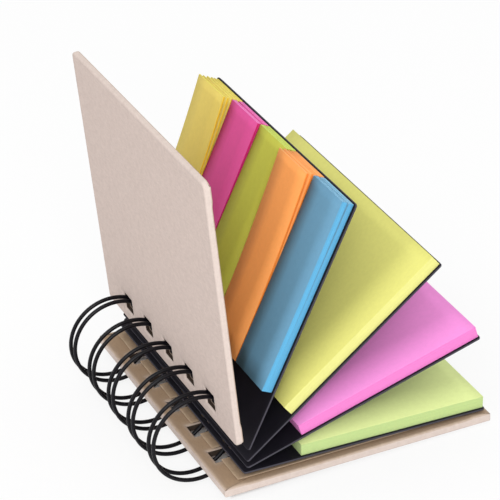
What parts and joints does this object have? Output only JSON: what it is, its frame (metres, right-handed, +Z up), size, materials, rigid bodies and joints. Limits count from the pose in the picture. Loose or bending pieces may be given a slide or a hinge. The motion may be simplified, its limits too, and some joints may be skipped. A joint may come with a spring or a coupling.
{
  "type": "wire-bound sticky notes booklet",
  "caption": "Wire-bound booklet of sticky notes with kraft board covers, black cards and coloured note pads and flags, fanned open.",
  "frame": {"origin": "middle of the footprint, on the table", "axes": "+X from the wire spine towards the fore edge, +Y along the spine towards the yellow flags, +Z up"},
  "size_m": [0.0866, 0.08, 0.0888],
  "materials": {
    "kraft_board": "uncoated kraft paper wrapped round board",
    "kraft_lining": "uncoated kraft paper",
    "black_card": "dyed black card, grey cut edges",
    "black_wire": "black enamelled steel wire, semi-gloss",
    "note_yellow": "matt coloured note paper",
    "note_pink": "matt coloured note paper",
    "note_green": "matt coloured note paper",
    "flag_yellow": "matt coloured flag paper",
    "flag_pink": "matt coloured flag paper",
    "flag_green": "matt coloured flag paper",
    "flag_orange": "matt coloured flag paper",
    "flag_blue": "matt coloured flag paper"
  },
  "bodies": {
    "root": {"back_cover": "kraft_board", "back_cover_lining": "kraft_lining", "binding_wire": "black_wire"},
    "green_leaf": {"green_note_card": "black_card", "green_note_pad": "note_green"},
    "pink_leaf": {"pink_note_card": "black_card", "pink_note_pad": "note_pink"},
    "yellow_leaf": {"yellow_note_card": "black_card", "yellow_note_pad": "note_yellow"},
    "flag_leaf": {"flag_card": "black_card", "flag_stack_yellow": "flag_yellow", "flag_stack_pink": "flag_pink", "flag_stack_green": "flag_green", "flag_stack_orange": "flag_orange", "flag_stack_blue": "flag_blue"},
    "front_board": {"front_cover": "kraft_board", "front_cover_lining": "kraft_lining"}
  },
  "joints": [
    {"name": "green_leaf_hinge", "type": "hinge", "parent": "root", "child": "green_leaf", "pos_m": [-0.03122, 0, 0.01205], "axis": [0, -1, 0], "range_deg": [0, 30]},
    {"name": "pink_leaf_hinge", "type": "hinge", "parent": "green_leaf", "child": "pink_leaf", "pos_m": [-0.03122, 0, 0.01205], "axis": [0, -1, 0], "range_deg": [-1, 30]},
    {"name": "yellow_leaf_hinge", "type": "hinge", "parent": "pink_leaf", "child": "yellow_leaf", "pos_m": [-0.03122, 0, 0.01205], "axis": [0, -1, 0], "range_deg": [-5, 30]},
    {"name": "flag_leaf_hinge", "type": "hinge", "parent": "yellow_leaf", "child": "flag_leaf", "pos_m": [-0.03122, 0, 0.01205], "axis": [0, -1, 0], "range_deg": [-8, 30]},
    {"name": "front_cover_hinge", "type": "hinge", "parent": "flag_leaf", "child": "front_board", "pos_m": [-0.03122, 0, 0.01205], "axis": [0, -1, 0], "range_deg": [-18, 80]}
  ]
}
